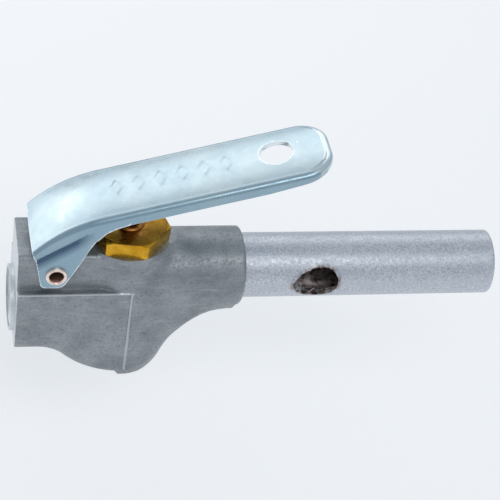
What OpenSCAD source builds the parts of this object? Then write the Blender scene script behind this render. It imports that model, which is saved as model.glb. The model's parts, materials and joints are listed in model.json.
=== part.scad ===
// Lever-operated nozzle: cast body, brass valve cartridge, stamped lever, side-ported spout.
// Frame: origin at the centre of the inlet port's mouth, +X to the spout, +Z up. Millimetres.

/* [Spout tube] */
// outside diameter of the spout tube
tube_od = 19.05; // [18:0.05:19.3]
// bore of the spout tube
tube_bore = 14.8; // [13:0.1:16]
// length of tube showing in front of the casting
tube_show = 76.1; // [60:0.1:110]
// how far the tube is pressed into the casting
tube_socket = 14; // [10:0.5:16]
// diameter of each slanted side port
port_d = 10.2; // [7:0.1:11]
// angle between a side port and the tube
port_angle = 50; // [40:1:70]
// distance from the casting to the mouth of the side ports
port_at = 21.45; // [18:0.05:30]
// height of the side ports above the tube's centre line
port_up = 0.5; // [0:0.1:1]

/* [Casting] */
// distance from the inlet mouth to the valve's centre line
valve_x = 32.9; // [32:0.1:34]
// distance from the inlet mouth to the casting's outlet end
boss_end = 66.3; // [62:0.1:72]
// height of the spout's centre line over the inlet's
spout_z = 11.2; // [11:0.1:12]
// width of the casting's lower half
slab_w = 24; // [23.6:0.1:25]
// width of the block that the lever straddles
block_w = 18.4; // [17.5:0.1:18.6]
// top of that block
block_top = 23.2; // [22.8:0.1:23.4]
// lowest point of the casting
cup_bottom = -22.4; // [-24:0.1:-22]
// diameter of the outlet boss
boss_d = 23.2; // [22.6:0.1:24]
// diameter of the raised ring round the inlet
ring_d = 19.6; // [18.5:0.1:20.6]
// height of that ring
ring_h = 1.3; // [0.8:0.1:2]
// mean diameter of the inlet's pipe thread
inlet_d = 16; // [15.6:0.1:16.4]
// threaded depth of the inlet
inlet_depth = 13; // [11:0.5:14]
// bore of the lower chamber
chamber_d = 15.2; // [14.8:0.1:15.6]
// shelf on which the cartridge seals
shelf_z = 3; // [2.8:0.1:3.2]
// machined rim under the hexagon
rim_z = 23.5; // [23.4:0.1:24]
// inner radius of the lower cup's corner
cup_round = 5; // [3:0.5:6]

/* [Cartridge] */
// width across the flats of the hexagon
hex_af = 20.4; // [19:0.1:20.6]
// thickness of the hexagon
hex_h = 4.9; // [4:0.1:5.5]
// turn of the hexagon as tightened
hex_turn = -9.6; // [-15:0.1:15]
// diameter of the cartridge's thread
thread_d = 17.76; // [17.6:0.02:17.78]
// opening in the seat
seat_d = 8.4; // [8:0.1:8.8]
// diameter of each cross hole
cross_d = 5.8; // [4:0.1:6.4]
// diameter of the packing pocket
gland_d = 8.6; // [8.4:0.1:9]

/* [Stem] */
// diameter of the stem
stem_d = 5; // [4.8:0.1:5.2]
// radial play of the stem in its guide
stem_play = 0.05; // [0.02:0.01:0.1]
// centre of the stem's rounded top
stem_top = 38.04; // [37.5:0.01:38.04]
// diameter of the stem below its shoulder
tail_d = 3.8; // [3.4:0.1:4]
// diameter of the disc holder
holder_d = 12.8; // [12:0.1:13.4]
// coils in the valve spring
coils = 6; // [4:1:7]
// wire diameter of the valve spring
wire_d = 1.1; // [0.8:0.1:1.3]
// mean diameter of the valve spring
coil_d = 10; // [9.6:0.1:10.6]

/* [Lever] */
// sheet thickness
sheet = 1.5; // [1.2:0.1:1.6]
// width over the flanges
lever_w = 22; // [21.9:0.1:23]
// slope of the grip at rest
lever_slope = 16; // [15.5:0.5:17]
// distance from the inlet mouth to the lever's tip
lever_tip = 86.7; // [80:0.1:95]
// height of the side flanges
flange_h = 3.8; // [3:0.1:5]
// corner radius of the tip
tip_r = 8.5; // [5:0.5:10]
// diameter of the hanging hole
hang_d = 9.7; // [6:0.1:11]
// distance from the inlet mouth to the hanging hole
hang_x = 71.4; // [68:0.1:76]
// height of the grip's face at the hanging hole
hang_z = 53.4; // [53.4:0.1:55]
// pivot position along the casting
pivot_x = 11.9; // [11:0.1:12.5]
// pivot height
pivot_z = 18; // [17.5:0.1:18.5]
// diameter of the rivet's shank
rivet_d = 4.8; // [4.4:0.1:5]
// radial play of the rivet in the casting
rivet_play = 0.05; // [0.02:0.01:0.1]
// bore through the tubular rivet
rivet_bore = 3.2; // [2.4:0.1:3.4]

/* [Hidden] */
$fn = 96;
eps = 0.01;
tube_r = tube_od / 2;
stem_r = stem_d / 2;
slab_hw = slab_w / 2;
socket_x = boss_end - tube_socket;
spout_end = boss_end + tube_show;
bore_r = tube_bore / 2;
spigot_r = tube_r - 0.2;
shoulder_x = boss_end + 0.2;
edge = 0.4;
jet_x = boss_end + 2;
jet_nose = boss_end + 15.5;
jet_seat_r = bore_r + 0.3;
jet_seat_x = jet_nose + 0.7;
jet_bore_r = 2.6;
boss_r = boss_d / 2;
upper_r = 8.9;
counter_r = 10.2;
counter_h = 1.8;
outlet_r = 6.6;
feed_r = 4.4;
feed_z = -2.6;
tap_drill_r = 7.2;
web_w = 17;
floor_h = 3.5;
chamber_floor = cup_bottom + floor_h;
hex_top = rim_z + hex_h;
gasket_h = 0.8;
nose_z = shelf_z + gasket_h;
nose_top = nose_z + 1.4;
lip_z = nose_z - 1.6;
cavity_top = 15;
cavity_r = 5.6;
land_r = 8.4;
flange_r = upper_r - 0.1;
guide_r = stem_r + stem_play;
gland_z = 19.2;
oring_d = 1.8;
spacer_h = 1.2;
gland_bush_z = gland_z + 2 * oring_d + spacer_h;
gland_proud = 0.5;
shoulder_z = lip_z + 0.8;
disc_h = 2;
disc_r = 5.6;
disc_top = lip_z - 0.02;
disc_low = disc_top - disc_h;
holder_low = -3;
nut_h = 3;
tail_low = -7;
tail_r = tail_d / 2;
washer_r = 3.5;
cup_h = 0.8;
lever_hw = lever_w / 2;
slope_t = tan(lever_slope);
hang_r = hang_d / 2;
heel_x = 24;
heel_r = 39.6;
heel_end = 4.5;
heel_cx = heel_x + heel_r * sin(lever_slope);
heel_cz = hang_z + (heel_x - hang_x) * slope_t - heel_r * cos(lever_slope);
ear_low = 13.4;
rivet_reach = 11.9;
rivet_head_r = 3.1;

// points on an arc, from angle a to angle b
function arc(cx, cy, r, a, b, n = 10) =
    [for (i = [0 : n]) let (t = a + (b - a) * i / n) [cx + r * cos(t), cy + r * sin(t)]];

// height of the lever's outer face at x
function grip_z(x) = hang_z + (x - hang_x) * slope_t;

// a side outline in X and Z, given its full width
module side_plate(width) {
    rotate([90, 0, 0]) {
        linear_extrude(height = width, center = true) {
            children();
        }
    }
}

// a turned piece standing on the valve's centre line
module on_valve() {
    translate([valve_x, 0, 0]) {
        rotate_extrude() {
            children();
        }
    }
}

// a turned piece lying on the spout's centre line, x taken from the profile's second value
module on_spout() {
    translate([0, 0, spout_z]) {
        rotate([90, 0, 90]) {
            rotate_extrude() {
                children();
            }
        }
    }
}

// a round bar along X
module bar_x(x0, x1, z, r) {
    translate([x0, 0, z]) {
        rotate([0, 90, 0]) {
            cylinder(h = x1 - x0, r = r);
        }
    }
}

// a round bar along Z on the valve's centre line
module bar_z(z0, z1, r) {
    translate([valve_x, 0, z0]) {
        cylinder(h = z1 - z0, r = r);
    }
}

// lower half of the casting seen from the side
module slab_outline() {
    step_r = 11;
    belly_r = 26.9;
    foot = -11.3;
    step_x = 7.5;
    belly_x = step_x + (step_r + belly_r) * sin(45);
    polygon(concat(
        [[ring_h, spout_z], [ring_h, foot]],
        arc(step_x, foot - step_r, step_r, 90, 45),
        arc(belly_x, cup_bottom + belly_r, belly_r, 225, 266),
        [[valve_x, cup_bottom], [valve_x, spout_z]]
    ));
}

// web between the lower cup and the outlet boss
module web_outline() {
    polygon(concat(
        [[valve_x + 6, spout_z], [valve_x + 6, cup_bottom + cup_round], [44.8, -17.2]],
        arc(81.2, -33.97, 40, 150, 132, 6),
        arc(64.5, -15.4, 15, 132, 90, 8),
        [[64.5, spout_z]]
    ));
}

module valve_body() {
    color([0.53, 0.55, 0.57]) {
        difference() {
            union() {
                side_plate(slab_w) {
                    slab_outline();
                }
                side_plate(web_w) {
                    web_outline();
                }
                translate([ring_h, -block_w / 2, 0]) {
                    cube([valve_x - ring_h, block_w, block_top]);
                }
                on_valve() {
                    polygon(concat(
                        [[0, cup_bottom]],
                        arc(slab_hw - cup_round, cup_bottom + cup_round, cup_round, 270, 360),
                        [[slab_hw, rim_z - 0.5], [slab_hw - 0.5, rim_z], [0, rim_z]]
                    ));
                }
                on_spout() {
                    polygon([
                        [0, valve_x], [boss_r, valve_x], [boss_r, boss_end - 1.2],
                        [boss_r - 1.2, boss_end], [0, boss_end]
                    ]);
                }
                bar_x(0, ring_h + 1, 0, ring_d / 2);
            }
            bar_x(-1, inlet_depth, 0, inlet_d / 2);
            bar_x(inlet_depth - 1, inlet_depth + 4, 0, tap_drill_r);
            bar_x(inlet_depth + 2, valve_x, feed_z, feed_r);
            bar_z(chamber_floor, shelf_z + 1, chamber_d / 2);
            bar_z(shelf_z, rim_z, upper_r);
            bar_z(rim_z - counter_h, rim_z + 1, counter_r);
            bar_x(valve_x, boss_end, spout_z, outlet_r);
            bar_x(socket_x, boss_end + 1, spout_z, spigot_r + eps);
            translate([pivot_x, slab_w, pivot_z]) {
                rotate([90, 0, 0]) {
                    cylinder(h = 2 * slab_w, r = rivet_d / 2 + rivet_play);
                }
            }
        }
    }
}

// one slanted side port, drilled inwards and towards the outlet
module side_port(side) {
    translate([boss_end + port_at, side * tube_r, spout_z + port_up]) {
        rotate([0, 0, -side * port_angle]) {
            rotate([0, 90, 0]) {
                translate([0, 0, -port_d]) {
                    cylinder(h = port_d + tube_r / sin(port_angle), r = port_d / 2);
                }
            }
        }
    }
}

// tube with its pressed-in end turned down, and bored out from that end to take the jet
module spout_tube() {
    color([0.74, 0.76, 0.78]) {
        difference() {
            on_spout() {
                polygon([
                    [jet_seat_r, socket_x], [spigot_r - edge, socket_x], [spigot_r, socket_x + edge],
                    [spigot_r, shoulder_x], [tube_r, shoulder_x],
                    [tube_r, spout_end - edge], [tube_r - edge, spout_end],
                    [bore_r + 0.3, spout_end], [bore_r, spout_end - 0.3],
                    [bore_r, jet_seat_x], [jet_seat_r, jet_seat_x]
                ]);
            }
            side_port(-1);
            side_port(1);
        }
    }
}

module jet_insert() {
    collar_end = jet_x + 7;
    neck_x = jet_x + 9;
    throat_x = jet_x + 5;
    color([0.72, 0.73, 0.74]) {
        on_spout() {
            polygon([
                [5.4, jet_x], [jet_seat_r - eps, jet_x], [jet_seat_r - eps, collar_end],
                [5.2, neck_x], [jet_bore_r + 1.1, jet_nose], [jet_bore_r, jet_nose],
                [jet_bore_r, neck_x], [3.2, throat_x]
            ]);
        }
    }
}

// hexagonal prism with corners eased by a turned chamfer
module bonnet_hex() {
    corner = hex_af / 2 / cos(30);
    intersection() {
        translate([valve_x, 0, rim_z]) {
            rotate([0, 0, hex_turn]) {
                linear_extrude(height = hex_h) {
                    polygon([for (i = [0 : 5]) [corner * cos(60 * i), corner * sin(60 * i)]]);
                }
            }
        }
        on_valve() {
            polygon([
                [0, rim_z], [corner - 0.5, rim_z], [corner, rim_z + 0.4],
                [corner, hex_top - 0.9], [corner - 1.5, hex_top], [0, hex_top]
            ]);
        }
    }
}

module bonnet() {
    relief_r = 7.4;
    lip_r = 5.4;
    thread_z = 15.5;
    color([0.80, 0.60, 0.22]) {
        difference() {
            union() {
                bonnet_hex();
                on_valve() {
                    polygon([
                        [0, lip_z], [lip_r - 0.6, lip_z], [lip_r, nose_z], [flange_r, nose_z],
                        [flange_r, nose_top], [relief_r, nose_top], [relief_r, thread_z],
                        [thread_d / 2 - 0.8, thread_z], [thread_d / 2, thread_z + 0.8],
                        [thread_d / 2, rim_z - counter_h], [land_r, rim_z - counter_h],
                        [land_r, rim_z + 1], [0, rim_z + 1]
                    ]);
                }
            }
            bar_z(lip_z - 1, nose_top + 1, seat_d / 2);
            bar_z(nose_top, cavity_top, cavity_r);
            bar_z(cavity_top - 1, gland_z + 1, guide_r);
            bar_z(gland_z, hex_top + 1, gland_d / 2);
            for (a = [0, 90]) {
                translate([valve_x, 0, spout_z - 0.8]) {
                    rotate([0, 90, a]) {
                        cylinder(h = 3 * upper_r, r = cross_d / 2, center = true);
                    }
                }
            }
        }
    }
}

// ring of round section standing on height z
module o_ring(z, inner_r, d) {
    on_valve() {
        translate([inner_r + d / 2, z + d / 2]) {
            circle(r = d / 2 - eps, $fn = 24);
        }
    }
}

module bonnet_oring() {
    color([0.08, 0.08, 0.08]) {
        o_ring(rim_z - counter_h, land_r, oring_d);
    }
}

module seat_gasket() {
    color([0.55, 0.20, 0.15]) {
        on_valve() {
            translate([chamber_d / 2, shelf_z]) {
                square([flange_r - chamber_d / 2, gasket_h]);
            }
        }
    }
}

module packing_oring() {
    color([0.08, 0.08, 0.08]) {
        o_ring(gland_z, stem_r, oring_d);
        o_ring(gland_z + oring_d + spacer_h, stem_r, oring_d);
    }
}

module packing_spacer() {
    color([0.90, 0.89, 0.84]) {
        on_valve() {
            translate([stem_r + 0.1, gland_z + oring_d]) {
                square([gland_d / 2 - stem_r - 0.12, spacer_h]);
            }
        }
    }
}

module gland_bush() {
    bush_r = stem_r + 0.08;
    bush_top = hex_top + gland_proud;
    color([0.78, 0.56, 0.24]) {
        on_valve() {
            polygon([
                [bush_r, gland_bush_z], [gland_d / 2, gland_bush_z],
                [gland_d / 2, bush_top - edge], [gland_d / 2 - edge, bush_top],
                [stem_r + 0.5, bush_top], [bush_r, bush_top - edge]
            ]);
        }
    }
}

module valve_stem() {
    color([0.72, 0.50, 0.26]) {
        on_valve() {
            polygon(concat(
                [[0, tail_low], [tail_r - edge, tail_low], [tail_r, tail_low + edge],
                    [tail_r, shoulder_z], [stem_r, shoulder_z]],
                arc(0, stem_top, stem_r, 0, 90)
            ));
        }
    }
}

// washer-like turned piece between two radii and two heights
module collar(r0, r1, z0, z1) {
    on_valve() {
        translate([r0, z0]) {
            square([r1 - r0, z1 - z0]);
        }
    }
}

module disc_washer() {
    color([0.74, 0.75, 0.76]) {
        collar(tail_r, washer_r, disc_top, shoulder_z);
    }
}

module seat_disc() {
    color([0.10, 0.10, 0.10]) {
        collar(tail_r, disc_r, disc_low, disc_top);
    }
}

module disc_holder() {
    holder_top = disc_top - 1;
    color([0.80, 0.62, 0.28]) {
        on_valve() {
            polygon([
                [tail_r, holder_low], [holder_d / 2 - 0.6, holder_low],
                [holder_d / 2, holder_low + 0.6], [holder_d / 2, holder_top],
                [disc_r, holder_top], [disc_r, disc_low], [tail_r, disc_low]
            ]);
        }
    }
}

module disc_nut() {
    nut_r = 3.7;
    color([0.74, 0.75, 0.76]) {
        difference() {
            translate([valve_x, 0, holder_low - nut_h]) {
                linear_extrude(height = nut_h) {
                    polygon([for (i = [0 : 5]) [nut_r * cos(60 * i), nut_r * sin(60 * i)]]);
                }
            }
            bar_z(holder_low - nut_h - 1, holder_low + 1, tail_r);
        }
    }
}

module spring_cup() {
    hole_r = 2.5;
    outer_r = chamber_d / 2 - 0.2;
    wall_r = outer_r - cup_h;
    wall_top = chamber_floor + 2.4;
    color([0.74, 0.75, 0.76]) {
        on_valve() {
            polygon([
                [hole_r, chamber_floor], [outer_r, chamber_floor], [outer_r, wall_top],
                [wall_r, wall_top], [wall_r, chamber_floor + cup_h], [hole_r, chamber_floor + cup_h]
            ]);
        }
    }
}

// one six-sided ring of the spring's wire at step i of n
function wire_ring(i, n, z0, z1) =
    let (
        f = i / n,
        t = 360 * coils * f,
        lie = 0.12,
        last = 1 - lie - 0.5 * (1 - f) * (1 - f) / lie,
        g = f < lie ? 0.5 * f * f / lie : (f > 1 - lie ? last : f - lie / 2),
        z = z0 + (z1 - z0) * g / (1 - lie)
    )
    [for (k = [0 : 5]) let (
        r = coil_d / 2 + wire_d / 2 * cos(60 * k)
    ) [r * cos(t), r * sin(t), z + wire_d / 2 * sin(60 * k)]];

module valve_spring() {
    n = 22 * coils;
    half = wire_d / 2;
    z0 = chamber_floor + cup_h + half;
    z1 = holder_low - half;
    pts = [for (i = [0 : n]) each wire_ring(i, n, z0, z1)];
    walls = [for (i = [0 : n - 1]) for (k = [0 : 5])
        [6 * i + k, 6 * i + (k + 1) % 6, 6 * (i + 1) + (k + 1) % 6, 6 * (i + 1) + k]];
    color([0.66, 0.67, 0.68]) {
        translate([valve_x, 0, 0]) {
            polyhedron(
                points = pts,
                faces = concat([[5, 4, 3, 2, 1, 0]], walls, [[for (k = [0 : 5]) 6 * n + k]])
            );
        }
    }
}

// outer shape of the pressing seen from the side, ears included
module lever_outline() {
    heel_a = 180 - acos((heel_cx - heel_end) / heel_r);
    polygon(concat(
        [[6, 23.4], [7.6, ear_low + 1], [8.6, ear_low], [13, ear_low], [15.4, ear_low + 1.4],
            [18.2, 22], [20.6, 27.6], [23.4, 32.6], [27.6, grip_z(27.6) - flange_h]],
        [[lever_tip - 16, grip_z(lever_tip - 16) - flange_h],
            [lever_tip + 1, grip_z(lever_tip + 1) - 2.6],
            [lever_tip + 1, grip_z(lever_tip + 1)]],
        arc(heel_cx, heel_cz, heel_r, 90 + lever_slope, heel_a)
    ));
}

// space under the pressing's top sheet
module lever_hollow() {
    inner_r = heel_r - sheet;
    low = 5;
    polygon(concat(
        [[-1, low], [lever_tip + 2, low],
            [lever_tip + 2, grip_z(lever_tip + 2) - sheet / cos(lever_slope)]],
        arc(heel_cx, heel_cz, inner_r, 90 + lever_slope, 163)
    ));
}

// lever seen from above, with a rounded tip
module lever_plan(inset) {
    r = tip_r - inset;
    linear_extrude(height = 90) {
        polygon(concat(
            [[0, -lever_hw + inset]],
            arc(lever_tip - tip_r, -lever_hw + tip_r, r, 270, 360),
            arc(lever_tip - tip_r, lever_hw - tip_r, r, 0, 90),
            [[0, lever_hw - inset]]
        ));
    }
}

module lever() {
    color([0.80, 0.88, 0.90]) {
        difference() {
            intersection() {
                side_plate(lever_w) {
                    lever_outline();
                }
                lever_plan(0);
            }
            intersection() {
                side_plate(lever_w) {
                    lever_hollow();
                }
                lever_plan(sheet);
            }
            translate([hang_x, 0, hang_z]) {
                rotate([0, -lever_slope, 0]) {
                    cylinder(h = 12, r = hang_r, center = true);
                }
            }
            translate([pivot_x, lever_w, pivot_z]) {
                rotate([90, 0, 0]) {
                    cylinder(h = 2 * lever_w, r = rivet_d / 2);
                }
            }
        }
    }
}

module pivot_rivet() {
    r0 = rivet_bore / 2;
    r1 = rivet_d / 2;
    curl = 0.5;
    tip = rivet_reach - curl;
    crown = rivet_head_r - 0.6;
    color([0.80, 0.66, 0.60]) {
        translate([pivot_x, 0, pivot_z]) {
            rotate([90, 0, 0]) {
                rotate_extrude() {
                    polygon([
                        [r0, -tip], [r0 + curl, -rivet_reach], [crown, -rivet_reach],
                        [rivet_head_r, -tip], [rivet_head_r, -lever_hw], [r1, -lever_hw],
                        [r1, lever_hw], [rivet_head_r, lever_hw], [rivet_head_r, tip],
                        [crown, rivet_reach], [r0 + curl, rivet_reach], [r0, tip]
                    ]);
                }
            }
        }
    }
}

valve_body();
spout_tube();
jet_insert();
bonnet();
bonnet_oring();
seat_gasket();
packing_oring();
packing_spacer();
gland_bush();
valve_stem();
disc_washer();
seat_disc();
disc_holder();
disc_nut();
valve_spring();
spring_cup();
lever();
pivot_rivet();
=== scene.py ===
import json
import math

import bmesh
import bpy
import numpy as np
from mathutils import Matrix, Vector, noise


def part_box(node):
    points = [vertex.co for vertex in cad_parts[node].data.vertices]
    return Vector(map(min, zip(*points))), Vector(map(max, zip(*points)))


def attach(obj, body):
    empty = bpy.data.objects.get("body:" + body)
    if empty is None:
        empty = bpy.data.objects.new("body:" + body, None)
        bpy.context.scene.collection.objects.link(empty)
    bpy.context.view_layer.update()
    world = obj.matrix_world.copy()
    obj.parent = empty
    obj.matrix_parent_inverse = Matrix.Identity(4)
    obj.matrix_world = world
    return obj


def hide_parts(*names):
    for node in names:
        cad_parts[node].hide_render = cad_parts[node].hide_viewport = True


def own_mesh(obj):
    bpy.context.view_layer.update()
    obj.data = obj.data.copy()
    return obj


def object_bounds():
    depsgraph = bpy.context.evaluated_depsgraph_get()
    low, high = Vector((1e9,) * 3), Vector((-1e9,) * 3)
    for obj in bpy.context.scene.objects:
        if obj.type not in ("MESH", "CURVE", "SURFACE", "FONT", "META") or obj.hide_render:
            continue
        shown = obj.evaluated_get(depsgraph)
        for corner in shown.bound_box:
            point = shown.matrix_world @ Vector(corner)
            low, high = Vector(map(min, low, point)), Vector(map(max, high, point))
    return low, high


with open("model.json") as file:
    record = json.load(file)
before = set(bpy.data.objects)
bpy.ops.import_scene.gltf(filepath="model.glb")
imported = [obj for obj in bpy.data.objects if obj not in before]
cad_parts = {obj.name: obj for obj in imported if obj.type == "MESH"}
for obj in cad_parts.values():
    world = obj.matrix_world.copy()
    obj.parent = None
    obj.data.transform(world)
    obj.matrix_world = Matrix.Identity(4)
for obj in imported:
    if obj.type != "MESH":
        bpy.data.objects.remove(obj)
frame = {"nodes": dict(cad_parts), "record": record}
cad_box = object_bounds()

# ---------------------------------------------------------------------------------------------
# Table and lamps. A pale table well below the nozzle, a key lamp over the viewer, a broad pale
# panel behind that shows in the top of the lever and a small one that shows in its heel. The eye
# is in front, to the left of the valve and above it, and leans over a little.
MM = 0.001

eye = Vector((-34.7, -348.2, 330.3)) * MM
turn = math.radians(16.6)
down = math.radians(40.78)
lean = math.radians(10.28)
ahead = Vector((math.sin(turn) * math.cos(down), math.cos(turn) * math.cos(down), -math.sin(down)))
level_right = Vector((math.cos(turn), -math.sin(turn), 0))
level_up = level_right.cross(ahead)
right = level_right * math.cos(lean) + level_up * math.sin(lean)
up = right.cross(ahead)
camera_data = bpy.data.cameras.new("eye")
camera_data.lens = 118.8
camera_data.sensor_width = 36
camera_data.clip_start = 0.02
camera = bpy.data.objects.new("eye", camera_data)
camera.matrix_world = Matrix.Translation(eye) @ Matrix((right, up, -ahead)).transposed().to_4x4()
bpy.context.scene.collection.objects.link(camera)
bpy.context.scene.camera = camera
bpy.context.scene.view_settings.view_transform = "Standard"

centre = (Vector(cad_box[0]) + Vector(cad_box[1])) / 2


def lamp(name, place, wide, high, power):
    """A soft rectangular lamp that looks at the middle of the nozzle."""
    data = bpy.data.lights.new(name, "AREA")
    data.shape = "RECTANGLE"
    data.size = wide
    data.size_y = high
    data.energy = power
    obj = bpy.data.objects.new(name, data)
    obj.location = place
    obj.visible_camera = False
    obj.rotation_euler = (centre - Vector(place)).to_track_quat("-Z", "Y").to_euler()
    bpy.context.scene.collection.objects.link(obj)


lamp("key", (0.13, -0.55, 0.70), 0.5, 0.3, 1.2)
lamp("back", (0.02, 0.62, 0.56), 1.3, 0.5, 1.6)
lamp("heel", (-0.66, 0.62, 0.27), 0.7, 0.6, 1.1)

world = bpy.data.worlds.new("room")
world.use_nodes = True
world.node_tree.nodes["Background"].inputs["Color"].default_value = (0.87, 0.93, 1.0, 1)
world.node_tree.nodes["Background"].inputs["Strength"].default_value = 0.60
bpy.context.scene.world = world

table_z = -0.075
table_mesh = bpy.data.meshes.new("table")
table_mesh.from_pydata(
    [(x, y, table_z) for x, y in ((-3, -3), (3, -3), (3, 3), (-3, 3))], [], [(0, 1, 2, 3)])
table = bpy.data.objects.new("table", table_mesh)
bpy.context.scene.collection.objects.link(table)
paper = bpy.data.materials.new("paper")
paper.use_nodes = True
paper_shader = paper.node_tree.nodes["Principled BSDF"]
paper_shader.inputs["Base Color"].default_value = (0.97, 0.97, 0.97, 1)
paper_shader.inputs["Roughness"].default_value = 0.9
paper_shader.inputs["Emission Color"].default_value = (1, 1, 1, 1)
paper_shader.inputs["Emission Strength"].default_value = 0.12
table_mesh.materials.append(paper)

# ---------------------------------------------------------------------------------------------
# Cast body. An aluminium die casting: a slab-sided lower half with a ledge, a narrower block
# that the lever straddles, a round valve boss over a rounded cup, and the outlet boss. The rim
# under the hexagon is faced off, and the inlet is tapped with a taper pipe thread.
low, high = (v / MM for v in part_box("valve_body"))
bonnet_low, bonnet_high = (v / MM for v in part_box("bonnet"))
tube_low, tube_high = (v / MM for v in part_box("spout_tube"))
VALVE_X = (bonnet_low.x + bonnet_high.x) / 2
SPOUT_Z = (tube_low.z + tube_high.z) / 2
TUBE_R = (tube_high.z - tube_low.z) / 2
BOSS_END = high.x
RIM_Z = high.z
CUP_Z = low.z
LEDGE_Z = SPOUT_Z
SLAB_HALF = 11.7


def round_cut(a, b, r):
    """Where two half spaces meet in an outer corner of radius r."""
    both = np.maximum(np.stack([a, b]) + r, 0)
    return np.minimum(np.maximum(a, b), -r) + np.hypot(both[0], both[1])


def round_join(a, b, r):
    """Where two solids meet in an inner corner of radius r."""
    both = np.maximum(r - np.stack([a, b]), 0)
    return np.maximum(np.minimum(a, b), r) - np.hypot(both[0], both[1])


def soft_join(a, b, k):
    """Two solids run into each other over a width of about k."""
    h = np.maximum(k - np.abs(a - b), 0) / k
    return np.minimum(a, b) - h * h * k / 4


def belly_z(x):
    """Underside of the slab: level at the inlet, then down into the cup in one S."""
    step_r = 11
    belly_r = 26.9
    foot = -11.3
    step_x = 7.5
    belly_x = step_x + (step_r + belly_r) * math.sin(math.pi / 4)
    turn_x = step_x + step_r * math.sin(math.pi / 4)
    step = foot - step_r + np.sqrt(np.maximum(step_r ** 2 - np.clip(x - step_x, 0, 9) ** 2, 1))
    bowl = CUP_Z + belly_r - np.sqrt(np.maximum(belly_r ** 2 - (x - belly_x) ** 2, 1))
    return np.where(x < turn_x, step, bowl)


def web_z(x):
    """Underside of the web that runs from the cup up to the outlet boss."""
    near_r, near_x, near_z = 15, 64.5, -15.4
    far_r, far_x, far_z = 40, 81.2, -33.97
    steep_x, steep_z = 46.56, -13.97
    meet_x = 54.46
    near = near_z + np.sqrt(np.maximum(near_r ** 2 - np.clip(x - near_x, -14, 0) ** 2, 1))
    far = far_z + np.sqrt(np.maximum(far_r ** 2 - (x - far_x) ** 2, 1))
    steep = steep_z - (steep_x - x) * math.tan(math.radians(60))
    return np.where(x > meet_x, near, np.where(x > steep_x, far, steep))


def casting_field(p):
    """Distance to the outside of the casting, less than nothing inside."""
    x, y, z = p.T
    side = np.abs(y)
    valve_r = np.hypot(x - VALVE_X, y)
    spout_d = np.hypot(y, z - SPOUT_Z)
    slope = np.clip((belly_z(x + 0.2) - belly_z(x - 0.2)) / 0.4, -2, 2)
    under = (belly_z(x) - z) / np.sqrt(1 + slope ** 2)
    slab = round_cut(side - SLAB_HALF, under, 4.0)
    slab = np.maximum(slab, x - VALVE_X - 0.9)
    rib = round_cut(side - 11.95, under, 4.0)
    rib = np.maximum(rib, np.abs(x - VALVE_X - 0.9) - 0.4)
    slab = round_cut(np.minimum(slab, rib), z - LEDGE_Z, 0.35)
    cup = round_cut(valve_r - 11.45, CUP_Z + 0.03 - z, 5.2)
    cup = np.maximum(cup, z - RIM_Z - 1.5)
    block = round_cut(side - 9.2, z - 23.15, 1.6)
    block = np.maximum(np.maximum(block, x - VALVE_X), -z)
    boss = round_cut(spout_d - 11.55, x - BOSS_END, 0.9)
    boss = np.maximum(boss, VALVE_X - x)
    web_slope = np.clip((web_z(x + 0.2) - web_z(x - 0.2)) / 0.4, 0, 2)
    web = (web_z(x) - z) / np.sqrt(1 + web_slope ** 2)
    web = round_cut(web, side - 10.2, 7.0)
    web = np.maximum(np.maximum(web, z - SPOUT_Z), np.maximum(VALVE_X - x, x - 64.0))
    front = soft_join(boss, web, 2.2)
    # two flanks that already run the same way need no fillet between them
    alike = np.clip(y * y / np.maximum(valve_r * spout_d, 1), 0, 1)
    solid = soft_join(round_join(cup, block, 1.2), front, 0.2 + 5.8 * (1 - alike))
    end = round_join(slab, block, 0.5)
    solid = np.minimum(solid, end)
    solid = np.maximum(solid, np.maximum(side - 11.96, CUP_Z + 0.03 - z))
    solid = round_cut(solid, 1.3 - x, 0.5)
    ring = round_cut(np.hypot(y, z) - 9.75, -x - 1.0, 0.3)
    return np.minimum(solid, np.maximum(ring, x - 6))


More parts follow.
